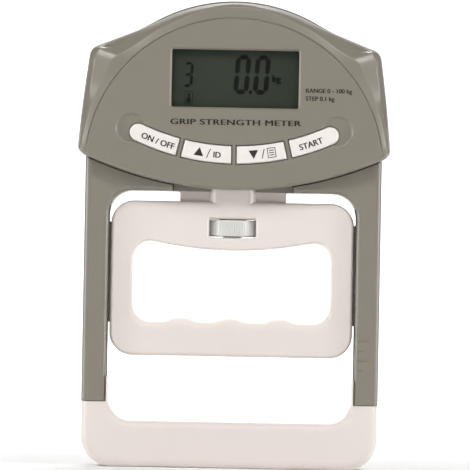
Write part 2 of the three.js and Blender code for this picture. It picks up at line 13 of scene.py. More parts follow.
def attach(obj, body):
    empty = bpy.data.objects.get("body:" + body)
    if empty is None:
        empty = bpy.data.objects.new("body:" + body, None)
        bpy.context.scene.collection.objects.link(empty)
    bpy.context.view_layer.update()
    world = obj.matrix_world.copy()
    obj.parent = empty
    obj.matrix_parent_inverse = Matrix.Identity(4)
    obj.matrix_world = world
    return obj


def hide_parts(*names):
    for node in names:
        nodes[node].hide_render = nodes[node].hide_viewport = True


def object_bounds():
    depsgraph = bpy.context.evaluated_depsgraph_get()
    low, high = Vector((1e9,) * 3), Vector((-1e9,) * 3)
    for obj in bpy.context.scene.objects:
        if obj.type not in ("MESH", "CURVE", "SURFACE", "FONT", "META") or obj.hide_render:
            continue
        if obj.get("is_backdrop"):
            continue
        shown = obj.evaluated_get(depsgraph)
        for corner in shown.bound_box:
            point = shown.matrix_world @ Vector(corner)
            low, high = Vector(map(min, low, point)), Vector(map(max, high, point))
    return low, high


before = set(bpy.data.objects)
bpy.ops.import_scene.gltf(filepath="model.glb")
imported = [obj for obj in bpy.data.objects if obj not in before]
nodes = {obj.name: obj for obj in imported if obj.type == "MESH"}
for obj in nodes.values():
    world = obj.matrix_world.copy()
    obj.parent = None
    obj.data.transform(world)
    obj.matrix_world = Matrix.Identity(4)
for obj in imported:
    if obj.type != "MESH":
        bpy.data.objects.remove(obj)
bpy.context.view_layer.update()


# ---- head cover ----------------------------------------------------------------------------------
# Front half of the head, one moulding of warm grey ABS: a raised round face, a gently sloping band and a
# facet around it, and a rounded outer edge. Four long screws that come from the rear housing hold it.

MM = 0.001
FACE = -15.0  # depths of the head's face, the legs' face, the joint between the halves, and the back
LEG_FRONT = -9.5
SPLIT = 3.0
BACK = 15.5
WALL = 2.2
POLE = np.array([0.0, 150.0])  # the rings of the head's surface go around this (x, z)
CHIN = (0, 259.6)  # centre and radius of the head's long lower arc
CHIN_R = 146


def arc(centre, radius, start, end, count):
    """count + 1 points of a circle: its centre plus radius times the cosine and sine of each angle."""
    turn = np.radians(np.linspace(start, end, count + 1))
    return np.array(centre) + radius * np.column_stack([np.cos(turn), np.sin(turn)])


def circle(centre, radius, count):
    """The points of a whole circle, each once."""
    return arc(centre, radius, 0, 360, count)[:-1]


def curve(first, pull, last, count):
    """Quadratic curve from first to last that leaves towards pull and arrives from it."""
    t = np.linspace(0, 1, count + 1)[:, None]
    return (1 - t) ** 2 * np.array(first) + 2 * t * (1 - t) * np.array(pull) + t ** 2 * np.array(last)


def chain(*stretches):
    """One closed outline from stretches of points, without points that repeat the one before."""
    points = np.vstack(stretches)
    step = np.linalg.norm(points - np.roll(points, 1, axis=0), axis=1)
    return points[step > 1e-3]


def mirrored(half):
    """The right half of an outline, from its lowest to its highest point, with its mirror image."""
    return chain(half, half[::-1] * [-1, 1])


def inset(outline, widths):
    """Each side of an anticlockwise outline moved inwards by its own width. A corner goes to where its two
    moved sides meet, or straight inwards by their mean width where they are almost in line."""
    widths = np.broadcast_to(np.asarray(widths, float), len(outline))
    ahead = np.roll(outline, -1, axis=0) - outline
    ahead /= np.linalg.norm(ahead, axis=1)[:, None]
    side = np.column_stack([-ahead[:, 1], ahead[:, 0]])
    last = np.roll(side, 1, axis=0)
    last_width = np.roll(widths, 1)
    cross = last[:, 0] * side[:, 1] - last[:, 1] * side[:, 0]
    corner = np.abs(cross) > 0.25
    safe = np.where(corner, cross, 1)
    meet = np.column_stack([
        (last_width * side[:, 1] - widths * last[:, 1]) / safe,
        (last[:, 0] * widths - side[:, 0] * last_width) / safe,
    ])
    mean = last + side
    mean /= np.linalg.norm(mean, axis=1)[:, None]
    reach = (widths + last_width) / 2 / np.maximum(0.5, (mean * side).sum(axis=1))
    return outline + np.where(corner[:, None], meet, mean * reach[:, None])


def loft(rings):
    """Closed surface through rings of equally many points, front ring first, with a flat face at each end.
    Rings run anticlockwise as seen from the front."""
    rings = np.asarray(rings, float)
    count, size = rings.shape[:2]
    ring = np.arange(size)
    after = (ring + 1) % size
    start = (np.arange(count - 1) * size)[:, None]
    quads = np.stack([start + ring, start + size + ring, start + size + after, start + after], axis=2)
    faces = quads.reshape(-1, 4).tolist()
    faces.append(ring.tolist())
    faces.append(((count - 1) * size + ring[::-1]).tolist())
    return rings.reshape(-1, 3), faces


def at_depth(outline, y):
    """An outline of (x, z) points as a ring of (x, y, z) points, at one depth or at a depth for each."""
    return np.column_stack([outline[:, 0], np.broadcast_to(y, len(outline)), outline[:, 1]])


def draft(name, points, faces):
    """A mesh object in millimetres that is still to be cut, joined and finished."""
    mesh = bpy.data.meshes.new(name)
    mesh.from_pydata(np.asarray(points).tolist(), [], faces)
    piece = bpy.data.objects.new(name, mesh)
    bpy.context.scene.collection.objects.link(piece)
    return piece


def applied(piece):
    """Makes the piece's modifiers part of its mesh."""
    bpy.context.view_layer.update()
    depsgraph = bpy.context.evaluated_depsgraph_get()
    mesh = bpy.data.meshes.new_from_object(piece.evaluated_get(depsgraph))
    piece.modifiers.clear()
    piece.data = mesh
    return piece


def carve(piece, tools, operation="DIFFERENCE"):
    """Cuts tools out of a piece, or joins them to it with operation UNION, one after the other."""
    for tool in tools:
        change = piece.modifiers.new("carve", "BOOLEAN")
        change.operation = operation
        change.solver = "EXACT"
        change.object = tool
        applied(piece)
        bpy.data.objects.remove(tool)
    return piece


def finish_piece(piece, material, body, stands_for, sharp=35):
    """Shades a piece smooth between edges sharper than the angle, weights its normals by face area so that
    flat faces stay flat, scales it to metres and puts it on its body, in place of the CAD node that it
    stands for, if any."""
    piece.data.shade_smooth()
    piece.data.set_sharp_from_angle(angle=math.radians(sharp))
    weight = piece.modifiers.new("weight", "WEIGHTED_NORMAL")
    weight.keep_sharp = True
    applied(piece)
    piece.data.vertices.foreach_set("co", vertices_of(piece).ravel() * MM)
    piece.data.update()
    piece.data.name = piece.name
    piece.data.materials.clear()
    piece.data.materials.append(material)
    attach(piece, body)
    if stands_for:
        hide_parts(stands_for)
    return piece


def vertices_of(piece):
    """The piece's vertices as an array of rows."""
    flat = np.zeros(len(piece.data.vertices) * 3, np.float32)
    piece.data.vertices.foreach_get("co", flat)
    return flat.reshape(-1, 3)


def mould(outline, profile):
    """Cutting tool with an outline's shape. Its profile lists (how far outside the outline, depth) from the
    front to the back, and the first number may be a row with a width for each side."""
    rings = [at_depth(inset(outline, -np.asarray(grow, float)), y) for grow, y in profile]
    return draft("tool", *loft(rings))


def box_tool(x, y, z):
    """Box from its spans along x, y and z."""
    outline = np.array([[x[0], z[0]], [x[1], z[0]], [x[1], z[1]], [x[0], z[1]]], float)
    return mould(outline, [(0, y[0]), (0, y[1])])


def rounded_box(x, z, radius, count=6):
    """Outline of a rectangle with round corners."""
    return chain(
        arc((x[1] - radius, z[0] + radius), radius, -90, 0, count),
        arc((x[1] - radius, z[1] - radius), radius, 0, 90, count),
        arc((x[0] + radius, z[1] - radius), radius, 90, 180, count),
        arc((x[0] + radius, z[0] + radius), radius, 180, 270, count),
    )


def through(knots, at):
    """Smooth curve through (place, value) knots: cubic pieces whose slope at a knot is the harmonic mean of
    the slopes on both sides, or level where they turn."""
    place, value = np.array(knots, float).T
    gap = np.diff(place)
    slope = np.diff(value) / gap
    product = slope[1:] * slope[:-1]
    total = np.where(product > 0, slope[1:] + slope[:-1], 1)
    tangent = np.concatenate([slope[:1], np.where(product > 0, 2 * product / total, 0), slope[-1:]])
    i = np.clip(np.searchsorted(place, at) - 1, 0, len(gap) - 1)
    t = np.clip((at - place[i]) / gap[i], 0, 1)
    return (
        (1 + 2 * t) * (1 - t) ** 2 * value[i] + t * (1 - t) ** 2 * gap[i] * tangent[i]
        + t ** 2 * (3 - 2 * t) * value[i + 1] + t ** 2 * (t - 1) * gap[i] * tangent[i + 1]
    )


def ease(low, high, at):
    """0 below low, 1 above high, and a smooth S between them."""
    t = np.clip((np.asarray(at, float) - low) / (high - low), 0, 1)
    return t * t * (3 - 2 * t)


def rounded_corners(keys, radii):
    """Profile through key points, each corner replaced by a quadratic curve that starts and ends a radius
    away along its two sides, or kept where its radius is 0. A key is a row of (distance, depth) points."""
    rows = [keys[0]]
    for before, key, after, radius in zip(keys, keys[1:], keys[2:], radii):
        if not radius:
            rows.append(key)
            continue
        back, on = before - key, after - key
        back_length = np.linalg.norm(back, axis=1)[:, None]
        on_length = np.linalg.norm(on, axis=1)[:, None]
        reach = np.minimum(radius, 0.48 * np.minimum(back_length, on_length))
        first, last = key + back / back_length * reach, key + on / on_length * reach
        for t in np.linspace(0, 1, 5):
            rows.append((1 - t) ** 2 * first + 2 * t * (1 - t) * key + t ** 2 * last)
    rows.append(keys[-1])
    return rows


def head_outline():
    """The head seen from the front: long lower arc, tight corners, sides, shoulders and crown arc."""
    crown_radius = 67
    corner, side_end, shoulder = (63.9, 131.5), (59.7, 168.5), (56, 172.3)
    lower = arc(CHIN, CHIN_R, -90, -math.degrees(math.acos(61 / CHIN_R)), 56)
    crown = arc((0, 124.4), crown_radius, math.degrees(math.acos(33 / crown_radius)), 90, 36)
    return mirrored(chain(
        lower,
        curve(lower[-1], (64.1, 128.4), corner, 10),
        curve(corner, (62.4, 150), side_end, 36),
        curve(side_end, (59, 171.2), shoulder, 12),
        curve(shoulder, (43.3, 176.9), crown[0], 26),
        crown,
    ))


def head_shell():
    """Rings around the pole, each given by its distance from it at every angle. From the middle out: round
    face, fine groove, band, facet, rounded edge, side wall, and back inside along the wall to the hollow.
    The round face's centre lies below the pole, so its rim is where a ray from the pole meets its circle."""
    away = head_outline() - POLE
    rise = np.degrees(np.arctan2(away[:, 1], np.abs(away[:, 0])))
    angle = np.arctan2(away[:, 1], away[:, 0])
    low = 1 - ease(-20.5, -15.5, rise)
    rim = np.hypot(*away.T) - 1.1 * ease(25, 50, rise)
    drop, radius = 27.1, 60.5
    face_rim = -drop * np.sin(angle) + np.sqrt(radius ** 2 - (drop * np.cos(angle)) ** 2)
    band_end = through([(-21, 66.8), (-16.3, 64.4), (-8.6, 60.7), (0.9, 57.0), (11.7, 53.6), (17.3, 52.9),
                        (23.1, 48.9), (29.4, 45.9), (44.4, 42.0), (60, 39.3), (90, 37.9)], rise)
    facet_end = through([(-21, 68), (-16.3, 65.6), (-8.6, 62.1), (0, 59.5), (10.7, 59.2), (16.5, 59.9),
                         (19.6, 59.4), (22.7, 54.2), (32.6, 47.5), (46, 43.2), (60.6, 40.8), (75, 39.7),
                         (90, 39.4)], rise)
    facet_depth = through([(-20, -12.8), (0, -11.7), (10, -11.2), (19, -10.6), (40, -11.8), (90, -12.4)],
                          rise)
    inner = rim - WALL
    hollow = np.minimum(face_rim - WALL, rim - 2.8)
    step_depth = -9.3

    def key(upper, lower_inset, upper_depth, lower_depth):
        distance = np.minimum(upper, rim - lower_inset)
        return np.column_stack([distance, upper_depth * (1 - low) + lower_depth * low])

    edge = rim - 0.3 * (rim - facet_end)
    outside = rounded_corners([
        key(face_rim - 3, 4, FACE, FACE),
        key(face_rim - 0.4, 2.1, FACE, FACE),
        key(face_rim, 1.85, FACE + 0.6, FACE + 0.01),
        key(face_rim + 0.45, 1.6, FACE + 0.2, FACE + 0.02),
        key(band_end, 1.0, FACE + 1.15, FACE + 0.25),
        key(facet_end, 0.45, facet_depth, FACE + 0.7),
        key(edge, 0.15, -8.2, FACE + 1.3),
        key(rim, 0, -4.5, FACE + 2.2),
        key(rim, 0, SPLIT - 0.25, SPLIT - 0.25),
        key(rim - 0.2, 0.2, SPLIT, SPLIT),
    ], [0.15, 0.1, 0.2, 0.5, 0.6, 1.2, 2, 0])
    inside = [
        key(inner, 0, SPLIT, SPLIT),
        key(inner, 0, step_depth, step_depth),
        key(hollow, 0, step_depth, step_depth),
        key(hollow, 0, FACE + WALL, FACE + WALL),
    ]
    rings = []
    for profile in outside + inside:
        x, z = POLE[:, None] + profile[:, 0] * np.array([np.cos(angle), np.sin(angle)])
        rings.append(np.column_stack([x, profile[:, 1], z]))
    return draft("head_cover_shell", *loft(rings))


FAN = (0, 221.5)  # centre of the rings that the keys are pieces of, and the keys' inner and outer radius
FAN_RADII = (90.2, 97.3)
FAN_SPLIT = 13.5  # degrees from the middle to the gap beside an outer key, and to its round end
FAN_END = 24.6
KEY_GAP = 1.15  # half the gap between two keys
KEYS = {"on": (-1, True), "up": (-1, False), "down": (1, False), "start": (1, True)}


def key_outline(side, outer, spread):
    """A key of the fan, or its hole that is larger by spread: a piece of ring between two rays, each moved
    sideways by half the gap between keys. The two outer keys end in a half circle."""
    inner, outside = FAN_RADII[0] - spread, FAN_RADII[1] + spread
    gap = KEY_GAP - spread
    ray = FAN_SPLIT if outer else 0

    def at(radius, degrees, offset):
        return degrees - 90 + math.degrees(math.asin(offset / radius))

    if outer:
        middle = (inner + outside) / 2
        end = arc(FAN, middle, FAN_END - 90, FAN_END - 90, 1)[0]
        points = chain(
            arc(FAN, outside, at(outside, ray, gap), FAN_END - 90, 12),
            arc(end, (outside - inner) / 2, FAN_END - 90, FAN_END + 90, 16),
            arc(FAN, inner, FAN_END - 90, at(inner, ray, gap), 12),
        )
    else:
        points = chain(
            arc(FAN, outside, at(outside, ray, gap), at(outside, FAN_SPLIT, -gap), 14),
            arc(FAN, inner, at(inner, FAN_SPLIT, -gap), at(inner, ray, gap), 14),
        )
    return points if side > 0 else points[::-1] * [-1, 1]


def column(name, levels, count=96):
    """Upright column with a rounded square section, |x / a|^4 + |y / b|^4 = 1 around the middle of the split.
    levels lists (a, b, z) from below."""
    turn = -np.linspace(0, 2 * np.pi, count, endpoint=False) - np.pi / count
    shape = np.column_stack([np.cos(turn), np.sin(turn)])
    shape /= ((shape ** 4).sum(axis=1) ** 0.25)[:, None]
    rings = [np.column_stack([a * shape[:, 0], SPLIT + b * shape[:, 1], np.full(count, z)])
             for a, b, z in levels]
    return draft(name, *loft(rings))


def neck_tools(z):
    """Clearance in the head for the grip's flat tongue and its neck."""
    neck_half = 10.25
    return [
        box_tool((-22.2, 22.2), (-3.7, 7.1), z),
        column("tool", [(neck_half, neck_half, end) for end in z], 64),
    ]


def group_of(name, inputs, outputs):
    """A shader node group with named sockets; returns the group, its input node and its output node."""
    tree = bpy.data.node_groups.new(name, "ShaderNodeTree")
    for label, kind, value in inputs:
        socket = tree.interface.new_socket(label, in_out="INPUT", socket_type=kind)
        if value is not None:
            socket.default_value = value
    for label, kind in outputs:
        tree.interface.new_socket(label, in_out="OUTPUT", socket_type=kind)
    return tree, tree.nodes.new("NodeGroupInput"), tree.nodes.new("NodeGroupOutput")


def feed(tree, socket, value):
    """Sets a socket to a number, or links it to an output socket."""
    if isinstance(value, (int, float)):
        socket.default_value = value
    else:
        tree.links.new(value, socket)


def calculated(tree, operation, first, second):
    """Output of a Math node whose two inputs are numbers or sockets."""
    node = tree.nodes.new("ShaderNodeMath")
    node.operation = operation
    feed(tree, node.inputs[0], first)
    feed(tree, node.inputs[1], second)
    return node.outputs[0]


def fine_grain():
    """Surface of moulded plastic: a spark-eroded grain as bump height, and faint wear that lightens or
    darkens the colour and changes the roughness over centimetres."""
    tree, given, made = group_of(
        "moulded_grain",
        [("Vector", "NodeSocketVector", None), ("Colour", "NodeSocketColor", None),
         ("Grain Scale", "NodeSocketFloat", 2600.0), ("Drift", "NodeSocketFloat", 0.03),
         ("Roughness", "NodeSocketFloat", 0.45)],
        [("Colour", "NodeSocketColor"), ("Height", "NodeSocketFloat"), ("Roughness", "NodeSocketFloat")],
    )
    given, made = given.outputs, made.inputs

    def noise(scale, detail):
        node = tree.nodes.new("ShaderNodeTexNoise")
        feed(tree, node.inputs["Vector"], given["Vector"])
        feed(tree, node.inputs["Scale"], scale)
        feed(tree, node.inputs["Detail"], detail)
        return node.outputs["Fac"]

    grain = noise(given["Grain Scale"], 2)
    cloud = calculated(tree, "SUBTRACT", noise(28, 3), 0.5)
    wear = calculated(tree, "MULTIPLY", cloud, given["Drift"])
    tint = tree.nodes.new("ShaderNodeVectorMath")
    tint.operation = "SCALE"
    feed(tree, tint.inputs[0], given["Colour"])
    feed(tree, tint.inputs["Scale"], calculated(tree, "ADD", wear, 1))
    feed(tree, made["Colour"], tint.outputs[0])
    feed(tree, made["Height"], grain)
    feed(tree, made["Roughness"], calculated(tree, "ADD", given["Roughness"], wear))
    return tree


GRAIN = fine_grain()


def srgb(red, green, blue):
    """Linear colour from 0-255 display values."""
    value = np.array([red, green, blue]) / 255
    linear = np.where(value <= 0.04045, value / 12.92, ((value + 0.055) / 1.055) ** 2.4)
    return (*linear.tolist(), 1.0)


def grained(name, colour, roughness, grain, drift):
    """Material whose colour and roughness come from the grain group on Object coordinates; returns it with
    its shader and its group node."""
    material = bpy.data.materials.new(name)
    material.use_nodes = True
    tree = material.node_tree
    shader = tree.nodes["Principled BSDF"]
    place = tree.nodes.new("ShaderNodeTexCoord")
    surface = tree.nodes.new("ShaderNodeGroup")
    surface.node_tree = GRAIN
    values = {"Colour": colour, "Roughness": roughness, "Grain Scale": grain, "Drift": drift}
    for label, value in values.items():
        surface.inputs[label].default_value = value
    feed(tree, surface.inputs["Vector"], place.outputs["Object"])
    feed(tree, shader.inputs["Base Color"], surface.outputs["Colour"])
    feed(tree, shader.inputs["Roughness"], surface.outputs["Roughness"])
    return material, shader, surface


def plastic(name, colour, roughness, grain=2600.0, bump=0.02, drift=0.03, specular=0.5):
    """Moulded plastic with the grain as a fine relief."""
    material, shader, surface = grained(name, colour, roughness, grain, drift)
    shader.inputs["Specular IOR Level"].default_value = specular
    relief = material.node_tree.nodes.new("ShaderNodeBump")
    relief.inputs["Strength"].default_value = bump
    relief.inputs["Distance"].default_value = 0.0001
    feed(material.node_tree, relief.inputs["Height"], surface.outputs["Height"])
    feed(material.node_tree, shader.inputs["Normal"], relief.outputs["Normal"])
    return material


grey_abs = plastic("grey_abs", srgb(132, 126, 114), 0.32, bump=0.1, specular=0.7)

AHEAD, BEHIND = -16, -12  # a tool that cuts through the face starts and ends at these depths
WINDOW_TOP = 112.9  # top of the window between the legs
NECK_CUT = (110, 119)

cover = head_shell()
guide = box_tool((-24.3, 24.3), (-5, SPLIT), (WINDOW_TOP, 118))
carve(cover, [guide], "UNION")
dimples = [
    mould(circle((x, 137.8), 6.0, 48),
          [(0.7, AHEAD), (0.7, FACE - 0.05), (0.45, FACE + 0.03), (0.1, FACE + 0.4), (-0.25, FACE + 0.75),
           (-0.8, FACE + 0.85)])
    for x in (-41.9, 41.9)
]
key_holes = [
    mould(key_outline(side, outer, 0.4),
          [(0.3, AHEAD), (0.3, FACE - 0.03), (0.1, FACE + 0.1), (0, FACE + 0.35), (0, BEHIND)])
    for side, outer in KEYS.values()
]
display_window = mould(rounded_box((-25.9, 25.9), (147, 170.5), 0.8),
                       [(0.8, AHEAD), (0.8, FACE - 0.04), (0, FACE + 0.75), (0, BEHIND)])
carve(cover, [*dimples, *key_holes, display_window, *neck_tools(NECK_CUT)])
cover.name = "head_cover_moulding"
finish_piece(cover, grey_abs, "housing", "head_cover")


# ---- rear housing --------------------------------------------------------------------------------
# Back of the head and of both legs in one moulding of the same grey ABS, with a battery bay for two cells,
# seats for six screws, slots for the grip's guide ribs and channels for the palm bar's spigots.

LEG_OUTER = 60.5
LEG_INNER = 50.6
LEG_BOTTOM = 26.6
WINDOW_R = 9.7  # radius of the upper corners of the window between the legs
CHANNEL = (52.6, 58.3)  # spans of x in the right leg: for a spigot of the palm bar, and for a rib of the grip
SLOT = (50, 53.2)
CHANNEL_Z = (LEG_BOTTOM - 1, 108)
SLOT_Z = (36.9, 111)
HEAD_SCREWS = [(-50, 160), (50, 160), (-53, 137), (53, 137)]
LEG_SCREWS = [(-55.5, 38), (55.5, 38)]
BAY_X = 25.8
BAY_Z = (149.5, 173.8)


def slab(name, outline, depths, front, back, steps=7):
    """Plate with an outline, its front and back edges rounded by quarter ellipses. front and back are
    (width of the rounding at each side of the outline, depth of the rounding). An extra ring a little
    further in keeps each flat face flat up to its rounding."""
    rings = [at_depth(inset(outline, np.asarray(front[0]) * 1.12 + 0.03), depths[0])]
    for turn in np.radians(np.linspace(0, 90, steps + 1)):
        ring = inset(outline, np.asarray(front[0]) * (1 - math.sin(turn)))
        rings.append(at_depth(ring, depths[0] + front[1] * (1 - math.cos(turn))))
    for turn in np.radians(np.linspace(90, 0, steps + 1)):
        ring = inset(outline, np.asarray(back[0]) * (1 - math.sin(turn)))
        rings.append(at_depth(ring, depths[1] - back[1] * (1 - math.cos(turn))))
    rings.append(at_depth(inset(outline, np.asarray(back[0]) * 1.12 + 0.03), depths[1]))
    return draft(name, *loft(rings))


def side_middles(outline):
    """Middle (x, z) of each side of an outline."""
    return ((outline + np.roll(outline, -1, axis=0)) / 2).T


def both(span):
    """A span of x on the right and its mirror image on the left."""
    return [span, (-span[1], -span[0])]


def screw_seats(places, top):
    """Round seats for screw heads in a face at depth top, and the holes for their shanks."""
    seat = [(0, top - 1.6), (0, top - 0.25), (0.3, top + 0.05), (0.3, top + 1)]
    shank = [(0, top - 8), (0, top - 1)]
    seats = [mould(circle(at, 2.7, 32), seat) for at in places]
    return seats + [mould(circle(at, 1.6, 16), shank) for at in places]


def chin_height(x, spread=0.0):
    """Height at x of the head's lower arc, or of one that runs spread outside it."""
    return CHIN[1] - np.sqrt((CHIN_R + spread) ** 2 - np.square(x))


def shell_outline():
    """Head outline with both legs below it, around the frame window."""
    head = head_outline()
    above = head[(head[:, 1] > 126.9) & (np.abs(head[:, 0]) > 60.9) | (head[:, 1] > 135)]
    order = np.argsort(np.arctan2(above[:, 1] - 110, above[:, 0]))
    join = chin_height(LEG_OUTER)
    corner = (LEG_INNER - WINDOW_R, WINDOW_TOP - WINDOW_R)
    return chain(
        [(LEG_INNER, LEG_BOTTOM), (LEG_OUTER, LEG_BOTTOM), (LEG_OUTER, join)],
        above[order],
        [(-LEG_OUTER, join), (-LEG_OUTER, LEG_BOTTOM), (-LEG_INNER, LEG_BOTTOM)],
        arc((-corner[0], corner[1]), WINDOW_R, 180, 90, 14),
        arc(corner, WINDOW_R, 90, 0, 14),
    )


outline = shell_outline()
x, z = side_middles(outline)
seam = z < LEG_BOTTOM + 0.1
back_round = np.where(seam, 0.25, 1.9)
front_round = np.where(seam, 0.1, 0.2)
housing = slab("rear_housing_moulding", outline, (SPLIT, BACK), (front_round, 0.2), (back_round, 1.8))
hollow = mould(inset(head_outline(), WALL), [(0, SPLIT - 1), (0, BACK - WALL)])
carve(housing, [hollow])
bay_walls = box_tool((-27, 27), (0.8, BACK - WALL + 0.1), (BAY_Z[0] - 1.2, BAY_Z[1] + 1.2))
beam_seats = [box_tool(span, (9.3, BACK - 1), (132, 141)) for span in both((21, 29))]
carve(housing, [bay_walls, *beam_seats], "UNION")
bay = mould(rounded_box((-BAY_X, BAY_X), BAY_Z, 0.6),
            [(0, 2), (0, BACK - 0.3), (0.3, BACK + 0.03), (0.3, BACK + 1)])
channels = [box_tool(span, (SPLIT - 1, BACK - WALL), CHANNEL_Z) for span in both(CHANNEL)]
slots = [box_tool(span, (SPLIT - 1, 12), SLOT_Z) for span in both(SLOT)]
carve(housing, [bay, *channels, *slots, *neck_tools(NECK_CUT)])
carve(housing, screw_seats(HEAD_SCREWS + LEG_SCREWS, BACK))
finish_piece(housing, grey_abs, "housing", "rear_housing")


# ---- leg covers ----------------------------------------------------------------------------------
# Front halves of the two legs, grey ABS, set back from the head and running up under it. The right one has
# four fine ribs, long and short, against which the height of the grip is read.

BAR_END = 24.6  # where the leg's end of the top bar stops
HEAD_GAP = 0.3
RIB_HALF = 0.35


def leg_outline():
    """Right leg and its end of the top bar, from the foot up to the gap under the head's lower arc, with the
    window's rounded corner."""
    radius = CHIN_R + HEAD_GAP
    ends = [math.degrees(math.acos(x / radius)) for x in (LEG_OUTER, BAR_END)]
    return chain(
        [(LEG_INNER, LEG_BOTTOM), (LEG_OUTER, LEG_BOTTOM), (LEG_OUTER, chin_height(LEG_OUTER, HEAD_GAP))],
        arc(CHIN, radius, -ends[0], -ends[1], 20),
        [(BAR_END, WINDOW_TOP)],
        arc((LEG_INNER - WINDOW_R, WINDOW_TOP - WINDOW_R), WINDOW_R, 90, 0, 16),
    )


for side, name in ((-1, "left"), (1, "right")):
    outline = leg_outline()
    x, z = side_middles(outline)
    seam = (z < LEG_BOTTOM + 0.1) | (z > chin_height(x, HEAD_GAP + 0.2)) | (x < BAR_END + 0.1)
    front_round = np.where(seam, 0.22, np.where(x > LEG_OUTER - 0.1, 2.9, 1.7))
    if side < 0:
        outline = outline[::-1] * [-1, 1]
        front_round = np.roll(front_round[::-1], -1)
    leg = slab(f"leg_cover_{name}_moulding", outline, (LEG_FRONT, SPLIT), (front_round, 2.1), (0.15, 0.15))
    channel, slot = [both(span)[side < 0] for span in (CHANNEL, SLOT)]
    carve(leg, [
        box_tool(channel, (LEG_FRONT + WALL, SPLIT + 1), CHANNEL_Z),
        box_tool(slot, (-6, SPLIT + 1), SLOT_Z),
    ])
    if side > 0:
        ribs = []
        for height, end in ((53.1, 56), (49.1, 54.4), (45, 56), (40.9, 54.4)):
            bar = rounded_box((51.9, end), (height - RIB_HALF, height + RIB_HALF), 0.32, 3)
            ribs.append(mould(bar, [(-0.2, LEG_FRONT - 0.22), (0, LEG_FRONT + 0.05), (0, LEG_FRONT + 1.6)]))
        carve(leg, ribs, "UNION")
    finish_piece(leg, grey_abs, "housing", f"leg_cover_{name}")


# ---- palm bar ------------------------------------------------------------------------------------
# U-shaped foot of pinkish off-white ABS that the palm's heel presses, in two halves that are screwed together
# from behind. Its thin liner arms and its spigots stand up inside the legs.

white_abs = plastic("white_abs", srgb(229, 220, 214), 0.36, bump=0.08, drift=0.015)

BASE_OUTER = 60.3
BASE_INNER = 49.8
BASE_CORNER = 12.5
BASE_FLOOR = 18.7
BASE_FILLET = 9.5
LINER_TOP = 36.9
BASE_SCREWS = [(-35, 9.5), (35, 9.5)]


def base_half():
    """Right half of the palm bar's outline, from the middle of its underside to the middle of its floor."""
    foot = BASE_OUTER - BASE_CORNER
    bend = (BASE_INNER - BASE_FILLET, BASE_FLOOR + BASE_FILLET)
    return chain(
        [(0, 0)],
        arc((foot, BASE_CORNER), BASE_CORNER, -90, 0, 20),
        [(BASE_OUTER, LEG_BOTTOM), (LEG_INNER - 0.1, LEG_BOTTOM), (LEG_INNER - 0.1, LINER_TOP),
         (BASE_INNER, LINER_TOP)],
        arc(bend, BASE_FILLET, 0, -90, 20),
        [(0, BASE_FLOOR)],
    )


outline = mirrored(base_half())
x, z = side_middles(outline)
x = np.abs(x)
from_corner = np.hypot(x - (BASE_OUTER - BASE_CORNER), z - BASE_CORNER)
outside = (x > BASE_OUTER - 0.1) | (z < BASE_CORNER) & (from_corner > BASE_CORNER - 0.2) | (z < 0.1)
liner = (x > BASE_INNER - 0.2) & (z > LEG_BOTTOM) | (x > BASE_INNER + 0.5) & ~outside
seat = (np.abs(z - LEG_BOTTOM) < 0.05) & (x > LEG_INNER)
thin = 0.14
inside_round = thin + 3.1 * (1 - ease(BASE_FLOOR + 1, BASE_FLOOR + BASE_FILLET, z))
front_round = np.select([seat, outside, liner], [0.25, 3.6, thin], inside_round)
back_round = np.select([seat, outside, liner], [0.25, 1.9, thin], thin + 0.5 * (inside_round - thin))
core = chain(
    arc((46, WALL + 11), 11, -90, 0, 8),
    [(57, LEG_BOTTOM - WALL), (53, LEG_BOTTOM - WALL)],
    curve((53, LEG_BOTTOM - WALL), (50, BASE_FLOOR - WALL), (40, BASE_FLOOR - WALL), 8),
    curve((-40, BASE_FLOOR - WALL), (-50, BASE_FLOOR - WALL), (-53, LEG_BOTTOM - WALL), 8),
    [(-57, LEG_BOTTOM - WALL)],
    arc((-46, WALL + 11), 11, 180, 270, 8),
)
base_front = slab("base_front_moulding", outline, (LEG_FRONT, SPLIT), (front_round, 3.0), (0.12, 0.12), 9)
carve(base_front, [mould(core, [(0, LEG_FRONT + WALL), (0, SPLIT + 1)])])
finish_piece(base_front, white_abs, "housing", "base_front")

base_rear = slab("base_rear_moulding", outline, (SPLIT, BACK), (0.12, 0.12), (back_round, 1.8))
carve(base_rear, [mould(core, [(0, SPLIT - 1), (0, BACK - WALL)])])
spigots = [box_tool(span, (SPLIT, BACK - WALL - 0.3), (20, 44)) for span in both((53.1, 57.8))]
bosses = [mould(circle(at, 3.2, 24), [(0, SPLIT), (0, BACK - WALL + 0.5)]) for at in BASE_SCREWS]
carve(base_rear, spigots + bosses, "UNION")
carve(base_rear, screw_seats(BASE_SCREWS, BACK))
finish_piece(base_rear, white_abs, "housing", "base_rear")


# ---- finger grip ---------------------------------------------------------------------------------
# Ring of off-white ABS in two halves: four finger grooves in the hole, a window for the thumbwheel, ribs that
# run in the legs' slots, and a flat tongue with a rounded square neck that enters the head.

GRIP_DEPTHS = (-6.5, 12.5)
GRIP_SCREWS = [(-45.1, 96), (45.1, 96), (-45.1, 52), (45.1, 52)]
GROOVE_Z = 59.8  # bottom of the finger grooves
GROOVE_PITCH = 20.2
OFF_JOINT = 0.013  # keeps the bore's points off the plane in which the grip is cut in two


def finger_hole():
    """Hole for four fingers. Its lower edge has a crest of 1.7 mm between grooves, by the fourth power of a
    cosine; its upper edge sags towards the middle."""
    across = np.linspace(-34, 34, 97)
    wave = np.abs(np.cos(np.pi * (across + 0.3) / GROOVE_PITCH)) ** 4
    lower = np.column_stack([across, GROOVE_Z + 1.7 * wave * (np.abs(across) < 1.3 * GROOVE_PITCH)])
    right = chain(
        curve((34, GROOVE_Z), (40.6, 60.4), (40.6, 68), 14),
        curve((40.6, 84), (40, 92.6), (33, 92.4), 14),
        curve((33, 92.4), (16, 88.9), (0, 88.9), 20),
    )[1:]
    return chain(lower, right, right[::-1] * [-1, 1])


